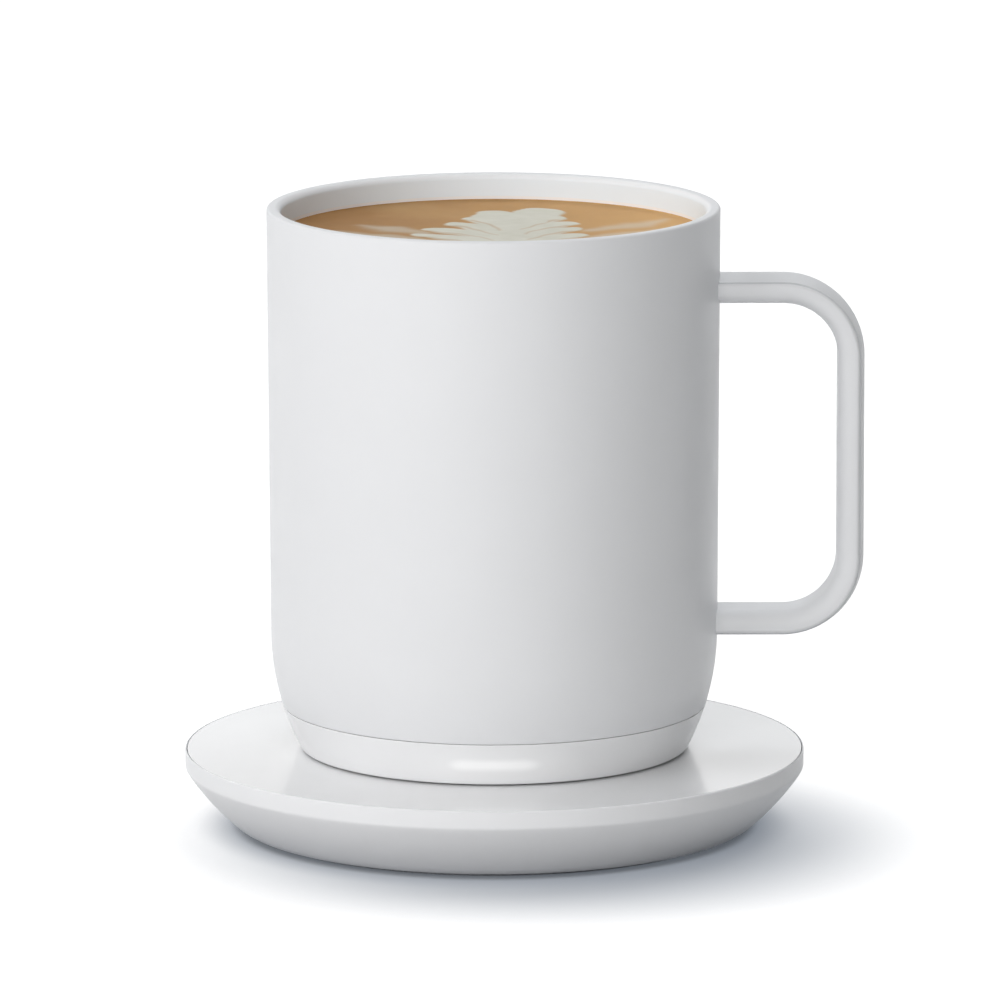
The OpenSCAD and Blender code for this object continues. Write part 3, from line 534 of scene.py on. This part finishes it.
def strip_outline():
    """Section of the handle strip: x outward from the crown's chord, y across; a groove edges the crown."""
    half = STRIP_W / 2
    crown_r = (half**2 + STRIP_CROWN**2) / (2 * STRIP_CROWN)
    half_turn = math.degrees(math.asin((half - CROWN_IN) / crown_r))
    crown = arc(STRIP_CROWN - crown_r, 0, crown_r, -half_turn, half_turn, 16)
    edge = crown[-1][0]
    groove = [(edge - low, half - inward) for low, inward in GROOVE]
    groove.append((-GROOVE_OUT[0], half - GROOVE_OUT[1]))
    beside = arc(-BESIDE_LOW, half - BESIDE_R, BESIDE_R, 40, 90, 6)
    shoulder = arc(SHOULDER_R - STRIP_T, half - SHOULDER_R, SHOULDER_R, 90, 180, 12)
    upper = groove + beside + shoulder
    lower = [(x, -y) for x, y in reversed(upper)]
    return crown + upper + [(-STRIP_T, 0)] + lower


def handle_path():
    """Stations along the strip: (x, z, outward x, outward z)."""
    top, low = HANDLE_TOP + SEAT, HANDLE_LOW + SEAT
    turn_x, upper_z, lower_z = REACH - HANDLE_CORNER, top - HANDLE_CORNER, low + HANDLE_CORNER
    level = [x for x, _ in line((HANDLE_ROOT, 0), (turn_x - BEND_ROW, 0), 6)]
    upright = [z for _, z in line((0, upper_z - BEND_ROW), (0, lower_z + BEND_ROW), 8)]
    bends = []
    for middle_z, start, end in ((upper_z, 90, 0), (lower_z, 0, -90)):
        outward = arc(0, 0, 1, start, end, 22)
        bends.append([(turn_x + HANDLE_CORNER * x, middle_z + HANDLE_CORNER * z, x, z) for x, z in outward])
    return (
        [(x, top, 0, 1) for x in level]
        + bends[0]
        + [(REACH, z, 1, 0) for z in upright]
        + bends[1]
        + [(x, low, 0, -1) for x in reversed(level)]
    )


def in_crease(u, v):
    """1 for a point of the section that lies in a crease beside the crown, else 0."""
    inward = STRIP_W / 2 - abs(v)
    return 1.0 if CREASE_NEAR < inward < CREASE_FAR and u > CREASE_LOW else 0.0


def make_handle():
    """The strip, swept along the handle's path."""
    section, stations = strip_outline(), handle_path()
    rings = [[(x + u * out_x, v, z + u * out_z) for u, v in section] for x, z, out_x, out_z in stations]
    handle = finish_mesh("mug_handle", skin("mug_handle", rings), 40)
    # The crease mark places painted shade in the coat's colour.
    marks = [in_crease(u, v) for u, v in section] * len(stations)
    handle.data.attributes.new("crease", "FLOAT", "POINT").data.foreach_set("value", marks)
    even_normals(handle)
    place(handle, "mug", "handle", mug_coat)


make_handle()


# Drink, with a poured leaf of foam; the leaf's points are millimetres on the drink's surface

WISPS = [
    [(-12, 0), (-18, 4), (-24, 9)],
    [(-13, -8), (-20, -4), (-27, 2)],
    [(18, 3), (25, 8), (31, 15)],
    [(18, -5), (26, -1), (33, 7)],
]
WISP_WIDTHS, WISP_SOFT, WISP_SHARE = [1.8, 2.6, 0.4], 1.8, 0.45
PETAL_TIPS = [
    (-3.6, 15.2), (-7.2, 9.8), (-10.6, 4.2), (-12.4, -2.4), (-12.0, -9.2), (-9.2, -16.0),
    (11.6, 16.4), (13.0, 10.6), (14.2, 4.4), (14.8, -2.4), (13.6, -9.4), (10.6, -16.0),
]
PETAL_ROOT, PETAL_DROP, PETAL_BEND, PETAL_STEPS = 3.2, 13.5, 1.25, 12
PETAL_WIDE, PETAL_THIN, PETAL_SOFT = 3.3, 1.5, 0.45
LINE_START, LINE_RISE, LINE_FINE, LINE_GROW, LINE_SOFT, LINE_SHARE = 3, 0.9, 0.05, 0.42, 0.5, 0.5
LOBES = [
    ([(4.2, 6.0), (5.6, 12.5), (7.4, 19.0), (7.6, 22.6)], [1.6, 4.2, 4.8, 4.6]),
    ([(3.0, 6.0), (1.8, 12.5), (0.2, 18.4), (0.1, 21.4)], [1.6, 3.4, 3.9, 3.5]),
]
LOBE_SOFT = 0.5
STEM, STEM_WIDTHS, STEM_SOFT = [(2.6, -33.0), (2.9, -20.0), (3.6, 4.0)], [0.2, 0.9, 1.2], 0.4

# Waves that bend the leaf, as (height, along x, along y, shift), for its x and for its y
WAVES_X = [(0.4, 0.0, 0.42, 1.2), (0.2, 1.1, 0.7, 0.0)]
WAVES_Y = [(0.5, 0.5, 0.0, 0.4), (0.25, -0.6, 0.9, 2.0)]


def segment_distance(points, a, b):
    """Distance of each point from the segment a-b, and how far along the segment it lies."""
    a, b = np.array(a), np.array(b)
    way = b - a
    t = np.clip(((points - a) @ way) / (way @ way), 0, 1)
    return np.linalg.norm(points - (a + t[:, None] * way), axis=1), t


def leaf_share(points, spine, widths, soft):
    """How far each point lies inside a leaf drawn along its spine, 0 outside to 1 inside."""
    best = np.full(len(points), -np.inf)
    for i in range(len(spine) - 1):
        away, t = segment_distance(points, spine[i], spine[i + 1])
        wide = widths[i] + (widths[i + 1] - widths[i]) * t
        best = np.maximum(best, wide - away)
    s = np.clip((best + soft) / (2 * soft), 0, 1)
    return s * s * (3 - 2 * s)


def bent(points):
    """The points, shifted by the waves that bend the leaf."""
    x, y = points[:, 0], points[:, 1]
    shifts = [
        sum(height * np.sin(along_x * x + along_y * y + shift) for height, along_x, along_y, shift in waves)
        for waves in (WAVES_X, WAVES_Y)
    ]
    return points + np.stack(shifts, axis=1)


def foam_pattern(points):
    """A two-lobed crown over pairs of full side petals, parted by fine lines that fade inward."""
    at = bent(points)
    share, lines = np.zeros(len(points)), np.zeros(len(points))
    for spine in WISPS:
        share = np.maximum(share, WISP_SHARE * leaf_share(at, spine, WISP_WIDTHS, WISP_SOFT))
    way = [i / PETAL_STEPS for i in range(PETAL_STEPS + 1)]
    widths = [PETAL_WIDE - PETAL_THIN * t**2 for t in way]
    fine = [LINE_FINE + LINE_GROW * t for t in way]
    for tip_x, tip_y in PETAL_TIPS:
        drops = [PETAL_DROP * (1 - t) ** PETAL_BEND for t in way]
        spine = [(PETAL_ROOT + (tip_x - PETAL_ROOT) * t, tip_y - drop) for t, drop in zip(way, drops)]
        share = np.maximum(share, leaf_share(at, spine, widths, PETAL_SOFT))
        edge = [(x, y - PETAL_WIDE + LINE_RISE * t) for (x, y), t in zip(spine, way)]
        lines = np.maximum(lines, leaf_share(at, edge[LINE_START:], fine[LINE_START:], LINE_SOFT))
    share = share * (1 - LINE_SHARE * lines)
    for lobe, lobe_widths in LOBES:
        share = np.maximum(share, leaf_share(at, lobe, lobe_widths, LOBE_SOFT))
    return np.maximum(share, leaf_share(at, STEM, STEM_WIDTHS, STEM_SOFT))


def drink_outline():
    """A level top that climbs the wall a little, and the cup's own bottom."""
    wall, top = CUP_R - DRINK_PLAY, DRINK_Z - SEAT
    return (
        [(0, top)]
        + [(DRINK_START + DRINK_STEP * i, top) for i in range(1, DRINK_ROWS + 1)]
        + [(wall - inward, top + up) for inward, up in CLIMB]
        + line((wall, top), (wall, corner_z), 8)[1:-1]
        + arc(corner_x, corner_z, CUP_CORNER - DRINK_PLAY, 0, -90, 10)
        + [(0, CUP_FLOOR + DRINK_PLAY)]
    )


def drink_look():
    """Crema with painted shade, darker to the left and paler to the right; a thin veil of milk, and white
    foam where the mesh marks it.
    """
    left_x, right_x, painted_shade_share = -0.036, 0.03, 0.75
    swirl_scale, swirl_stretch, swirl_share = 75, (1.0, 0.55, 1.0), 0.5
    tone_low, tone_high = 0.15, 1.05
    veil_scale, veil_low, veil_high, veil_share = 38, 0.52, 0.74, 0.25
    froth_scale, bubble_scale = 260, 900
    crema_rough, foam_rough = 0.5, 0.7
    painted_shade_crema, painted_lit_crema, thin_milk = (0.27, 0.13, 0.042), (0.65, 0.38, 0.15), (0.62, 0.44, 0.22)
    dull_foam, white_foam = (0.7, 0.68, 0.585), (0.76, 0.74, 0.65)

    shader = Shader("drink", painted_lit_crema, foam_rough, specular=0.06)
    foam = shader.node("ShaderNodeAttribute", attribute_name="foam").outputs["Fac"]
    # Painted shade: the crema is darker to the left, where the cup's wall keeps the light off the drink.
    side = shader.span(shader.axes()[0], left_x, right_x, 0.0, painted_shade_share)
    swirl = shader.math("MULTIPLY", shader.noise(swirl_scale, 4.0, swirl_stretch), swirl_share)
    tone = shader.span(shader.math("ADD", side, swirl), tone_low, tone_high)
    veil = shader.span(shader.noise(veil_scale), veil_low, veil_high, 0.0, veil_share)
    crema = shader.mix(veil, shader.mix(tone, painted_shade_crema, painted_lit_crema), thin_milk)
    milk = shader.mix(shader.drift(froth_scale, 0.0, 1.0), dull_foam, white_foam)
    shader.paint(shader.mix(foam, crema, milk))
    shader.feed(shader.span(foam, 0.0, 1.0, crema_rough, foam_rough), shader.surface.inputs["Roughness"])
    shader.grain(shader.cells(bubble_scale), 0.35, 0.03)
    return shader


def make_drink():
    """The drink in the cup, its foam marked on the mesh and raised a little."""
    mesh = lathe_mesh("drink", lifted(drink_outline()), DRINK_SIDES)
    places = np.array([v.co for v in mesh.vertices])
    share = foam_pattern(places[:, :2])
    share[places[:, 2] < DRINK_Z - FOAM_DEPTH] = 0
    tone = mesh.attributes.new("foam", "FLOAT", "POINT")
    tone.data.foreach_set("value", share.astype(np.float32))
    places[:, 2] += FOAM_RISE * share
    mesh.vertices.foreach_set("co", places.astype(np.float32).ravel())
    drink = finish_mesh("drink", mesh, 60)
    drink.data.materials.append(drink_look().material)
    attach(drink, "mug")


make_drink()


# Coaster


def taper_points(steps, inset=0.0):
    """Bulged side of the coaster from its foot to the band."""
    chord_x, chord_z = COASTER_R - TAPER_R, BAND_LOW - FOOT_PROUD
    chord = math.hypot(chord_x, chord_z)
    r = chord**2 / (8 * BULGE) + BULGE / 2
    cx = (COASTER_R + TAPER_R) / 2 - (r - BULGE) * chord_z / chord
    cz = (BAND_LOW + FOOT_PROUD) / 2 + (r - BULGE) * chord_x / chord
    start = math.degrees(math.atan2(FOOT_PROUD - cz, TAPER_R - cx))
    end = math.degrees(math.atan2(BAND_LOW - cz, COASTER_R - cx))
    return arc(cx, cz, r - inset, start, end, steps)


def edge_points(r, z, edge):
    """Points of a fine edge, placed at its corner."""
    return [(r - inward, z - down) for inward, down in edge]


def inlet_bar(name, outline):
    """Closed lathe turned about the inlet's axis, which runs along +Y."""
    mesh = lathe_mesh(name, outline, INLET_SIDES)
    mesh.transform(Matrix.Translation((0, 0, INLET_Z)) @ Matrix.Rotation(math.radians(-90), 4, "X"))
    return mesh


def cut(piece, mesh, operation):
    """Applies a boolean with a mesh that is given in millimetres."""
    tool = finish_mesh("tool", mesh)
    step = piece.modifiers.new("cut", "BOOLEAN")
    step.operation, step.object, step.solver = operation, tool, "EXACT"
    bpy.context.view_layer.update()
    piece.data = bpy.data.meshes.new_from_object(
        piece.evaluated_get(bpy.context.evaluated_depsgraph_get())
    )
    piece.modifiers.remove(step)
    bpy.data.objects.remove(tool)
    soft_shading(piece.data, 30)


taper = taper_points(14)
tray_side = [
    (r, z) for r, z in reversed(taper_points(8, COASTER_T))
    if TRAY_FLOOR + TRAY_CLEAR < z < BAND_LOW - TRAY_CLEAR
]
ledge_r = COASTER_R - LEDGE_W
body_outline = (
    [(0, PAD_TOP), (PAD_R, PAD_TOP), (PAD_R, FOOT_PROUD)]
    + edge_points(TAPER_R, FOOT_PROUD, FOOT_EDGE)
    + taper[1:-1]
    + edge_points(COASTER_R, BAND_LOW, BAND_EDGE)
    + edge_points(COASTER_R, SEAT, LIP_EDGE)
    + [(COASTER_R - LIP_EDGE[-1][0], PLATE_LOW), (ledge_r, PLATE_LOW), (ledge_r, BAND_LOW)]
    + tray_side
    + [(TRAY_R, TRAY_FLOOR), (0, TRAY_FLOOR)]
)
coaster_shell = finish_mesh("coaster_shell", lathe_mesh("coaster_shell", body_outline))
hole = [(0, CUT_NEAR), (RECESS_R, CUT_NEAR), (RECESS_R, CUT_FAR), (0, CUT_FAR)]
cut(coaster_shell, inlet_bar("hole", hole), "DIFFERENCE")
even_normals(coaster_shell)
place(coaster_shell, "coaster", "coaster_body", coaster_side)

plate_outline = soften(
    [(PLATE_HOLE_R, SEAT, HOLE_EDGE_R)]
    + [(r, SEAT) for r in PLATE_ROWS]
    + [(PLATE_R, SEAT, PLATE_EDGE_R), (PLATE_R, PLATE_LOW), (PLATE_HOLE_R, PLATE_LOW)],
    4,
)
place(lathe("coaster_plate", plate_outline), "coaster", "coaster_top", coaster_coat)

collar_in = RECESS_R - COLLAR_PLAY
collar = finish_mesh("inlet_collar", inlet_bar("inlet_collar", [
    (COLLAR_BORE, COLLAR_BACK), (COLLAR_R, COLLAR_BACK), (COLLAR_R, CUT_FAR), (collar_in, CUT_FAR),
    (collar_in, RECESS_Y + COLLAR_EDGE), (RECESS_R - COLLAR_EDGE, RECESS_Y), (COLLAR_BORE, RECESS_Y),
]))
saucer_side = [(r - COLLAR_SINK, z) for r, z in taper] + [(COASTER_R - COLLAR_SINK, PLATE_LOW)]
cut(collar, lathe_mesh("saucer", [(0, FOOT_PROUD)] + saucer_side + [(0, PLATE_LOW)]), "INTERSECT")
collar.data.materials.append(coaster_side.material)
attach(collar, "coaster")


# Springs under the coaster's contact pins


def coil_rings(middle, coil_r, low, high):
    """Rings of points round a wire that winds up a vertical axis."""
    steps = COIL_TURNS * COIL_STEPS
    wire = arc(0, 0, WIRE_R, 0, 324, 9)
    rings = []
    for i in range(steps + 1):
        turn = 2 * math.pi * COIL_TURNS * i / steps
        out = Vector((math.cos(turn), math.sin(turn), 0))
        here = Vector((middle.x, middle.y, low + (high - low) * i / steps)) + coil_r * out
        rings.append([here + Vector((out.x * r, out.y * r, z)) for r, z in wire])
    return rings


def make_spring(name, node):
    """Fine coil in place of a pin's spring."""
    low, high = (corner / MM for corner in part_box(node))
    coil_r = (high.x - low.x) / 2 - WIRE_R
    rings = coil_rings((low + high) / 2, coil_r, low.z + WIRE_R, high.z - WIRE_R)
    spring = finish_mesh(name, skin(name, rings), 60)
    place(spring, "coaster", node, steel)
    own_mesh(spring)


make_spring("center_pin_coil", "pin_spring_center")
make_spring("outer_pin_coil", "pin_spring_outer")


# Materials of the CAD nodes that keep their shape

node_materials = {
    "base_seal": seal_rubber, "base_plate": plate_plastic, "foot_ring": soft_foot,
    "contact_center": contact_metal, "contact_ring": contact_metal,
    "main_board": board_green, "board_chips": chip_black, "power_inductor": chip_black,
    "board_connectors": plug_cream, "led_board": board_green, "indicator_leds": led_phosphor,
    "light_guide": guide_clear, "tact_switch": chip_black, "battery_tray": tray_grey,
    "battery_cell_front": cell_sleeve, "battery_cell_back": cell_sleeve, "cell_tabs": steel,
    "battery_leads": lead_red, "heater_film": film_amber, "heater_track": track_copper,
    "heater_leads": lead_red, "insulation_pad": felt, "temp_sensor": chip_black,
    "level_strip": film_amber, "cup_studs": steel, "stud_nuts": steel, "plate_screws": steel,
    "board_screws": steel, "button_seal": seal_rubber, "power_button": button_plastic,
    "switch_plunger": chip_black, "coaster_foot": soft_foot, "coaster_screws": steel,
    "coaster_board": board_green, "coaster_chips": chip_black, "contact_block": block_plastic,
    "contact_gasket": seal_rubber, "pin_center": contact_metal, "pin_outer": contact_metal,
    "dc_jack": chip_black, "jack_pin": steel, "jack_leads": lead_black,
}
for name, shader in node_materials.items():
    for socket in nodes[name].material_slots:
        socket.material = shader.material


# Floor, light and camera, in metres

FLOOR_HALF, FLOOR_DROP = 3.0, 0.00002
ROOM_COLOR, ROOM_STRENGTH = (0.9, 0.95, 1.0), 0.01
LAMP_SIZE, LAMP_AIM = 0.9, (0, 0, 0.06)
LAMPS = [
    ("front_lamp", (-0.1, -1.18, 0.66), 8.1, (1.0, 1.0, 1.0)),
    ("left_lamp", (-0.85, -0.65, 0.6), 6.4, (1.0, 0.995, 1.0)),
    ("far_left_lamp", (-0.75, 0.6, 0.66), 3.4, (0.97, 0.985, 1.0)),
    ("far_right_lamp", (0.4, 0.66, 1.12), 6.9, (0.93, 0.965, 1.0)),
]
CAMERA_AT, CAMERA_DOWN, CAMERA_ROLL = (0.00107, -1.7, 0.3795), 0.1867, -0.0017
SENSOR_W, LENS, CLIP_END = 36, 351.7, 20


def seen_share(tree):
    """1 for rays that the camera, a reflection or glass sends, 0 for the light that falls on things."""
    path = tree.nodes.new("ShaderNodeLightPath")
    share = path.outputs["Is Camera Ray"]
    for kind in ("Is Glossy Ray", "Is Transmission Ray"):
        either = tree.nodes.new("ShaderNodeMath")
        either.operation = "MAXIMUM"
        tree.links.new(share, either.inputs[0])
        tree.links.new(path.outputs[kind], either.inputs[1])
        share = either.outputs[0]
    return share


def make_world():
    """White where it is seen, and a faint fill for the light that falls on things."""
    world = bpy.data.worlds.new("studio")
    world.use_nodes = True
    tree = world.node_tree
    tree.nodes.clear()
    room, shown = (tree.nodes.new("ShaderNodeBackground") for _ in range(2))
    room.inputs["Color"].default_value = (*ROOM_COLOR, 1)
    room.inputs["Strength"].default_value = ROOM_STRENGTH
    shown.inputs["Color"].default_value = (1, 1, 1, 1)
    pick = tree.nodes.new("ShaderNodeMixShader")
    out = tree.nodes.new("ShaderNodeOutputWorld")
    tree.links.new(seen_share(tree), pick.inputs[0])
    tree.links.new(room.outputs[0], pick.inputs[1])
    tree.links.new(shown.outputs[0], pick.inputs[2])
    tree.links.new(pick.outputs[0], out.inputs[0])
    scene.world = world


def open_below(shader):
    """Lets the underside of the floor be looked through, so that the object shows from below."""
    side = shader.node("ShaderNodeNewGeometry").outputs["Backfacing"]
    clear = shader.node("ShaderNodeBsdfTransparent")
    pick = shader.node("ShaderNodeMixShader")
    shader.feed(side, pick.inputs[0])
    shader.feed(shader.surface.outputs[0], pick.inputs[1])
    shader.feed(clear.outputs[0], pick.inputs[2])
    shader.feed(pick.outputs[0], shader.tree.nodes["Material Output"].inputs[0])


def floor_look():
    """White where it is seen, with a painted soft shadow round the coaster; it bounces light as paper does.
    """
    # Painted shade: the paper is darker near the coaster, so that less light bounces onto its underside.
    painted_shade_paper, far_paper, paper_from, paper_to = (0.4, 0.41, 0.43), (0.75, 0.75, 0.75), 0.046, 0.068
    seen_dark, seen_light = 0.245, 0.255
    shadow_at, shadow_from, shadow_to = (0.009, -0.0152, 0), 0.0264, 0.0828
    under_from, under_to = 0.043, 0.0545
    line_from, line_to, painted_line_depth = 0.0448, 0.0474, 0.5
    painted_shadow, white = (0.2, 0.225, 0.262), (1.0, 1.0, 1.0)

    shader = Shader("floor", (0.7, 0.7, 0.7), 0.9, specular=0.0)
    seen = seen_share(shader.tree)
    from_middle = shader.node("ShaderNodeVectorMath", operation="LENGTH")
    shader.feed(shader.place, from_middle.inputs[0])
    reach = from_middle.outputs["Value"]
    paper = shader.mix(shader.span(reach, paper_from, paper_to, smooth=True), painted_shade_paper, far_paper)
    grain = shader.drift(3, seen_dark, seen_light, 2.0)
    shader.paint(shader.mix(seen, paper, grain))

    # Painted shadow: the seen floor is darker round the coaster, off to its front, and darker still under
    # its rim.
    from_shadow = shader.node("ShaderNodeVectorMath", operation="DISTANCE")
    shader.feed(shader.place, from_shadow.inputs[0])
    from_shadow.inputs[1].default_value = shadow_at
    wide = shader.span(from_shadow.outputs["Value"], shadow_from, shadow_to, smooth=True)
    under = shader.span(reach, under_from, under_to, smooth=True)
    glow = shader.mix(shader.math("MULTIPLY", wide, under), painted_shadow, white)
    shader.feed(glow, shader.surface.inputs["Emission Color"])
    # Painted contact shadow: a thin darker line right at the coaster's foot.
    contact = shader.span(reach, line_from, line_to, painted_line_depth, 1.0, smooth=True)
    shader.feed(shader.math("MULTIPLY", seen, contact), shader.surface.inputs["Emission Strength"])
    open_below(shader)
    return shader


def make_floor():
    """Pale floor just below the coaster's foot pad."""
    mesh = bpy.data.meshes.new("floor")
    corners = [(x * FLOOR_HALF, y * FLOOR_HALF, 0) for x, y in ((-1, -1), (1, -1), (1, 1), (-1, 1))]
    mesh.from_pydata(corners, [], [(0, 1, 2, 3)])
    mesh.materials.append(floor_look().material)
    floor = bpy.data.objects.new("floor", mesh)
    floor.location.z = -FLOOR_DROP
    scene.collection.objects.link(floor)


def make_lamp(name, place_at, power, color):
    """Round soft lamp aimed at the mug; reflections show the white room instead of it."""
    data = bpy.data.lights.new(name, "AREA")
    data.shape, data.size, data.energy, data.color = "DISK", LAMP_SIZE, power, color
    lamp = bpy.data.objects.new(name, data)
    lamp.location = place_at
    lamp.visible_glossy = False
    aim = Vector(LAMP_AIM) - Vector(place_at)
    lamp.rotation_euler = aim.to_track_quat("-Z", "Y").to_euler()
    scene.collection.objects.link(lamp)


def make_camera():
    """Camera at the photograph's viewing angle."""
    data = bpy.data.cameras.new("camera")
    data.sensor_fit, data.sensor_width = "HORIZONTAL", SENSOR_W
    data.lens, data.clip_end = LENS, CLIP_END
    camera = bpy.data.objects.new("camera", data)
    tilt = Matrix.Rotation(math.pi / 2 - CAMERA_DOWN, 4, "X") @ Matrix.Rotation(CAMERA_ROLL, 4, "Z")
    camera.matrix_world = Matrix.Translation(CAMERA_AT) @ tilt
    scene.collection.objects.link(camera)
    scene.camera = camera


scene.view_settings.view_transform = "Standard"
make_world()
make_floor()
for lamp_values in LAMPS:
    make_lamp(*lamp_values)
make_camera()
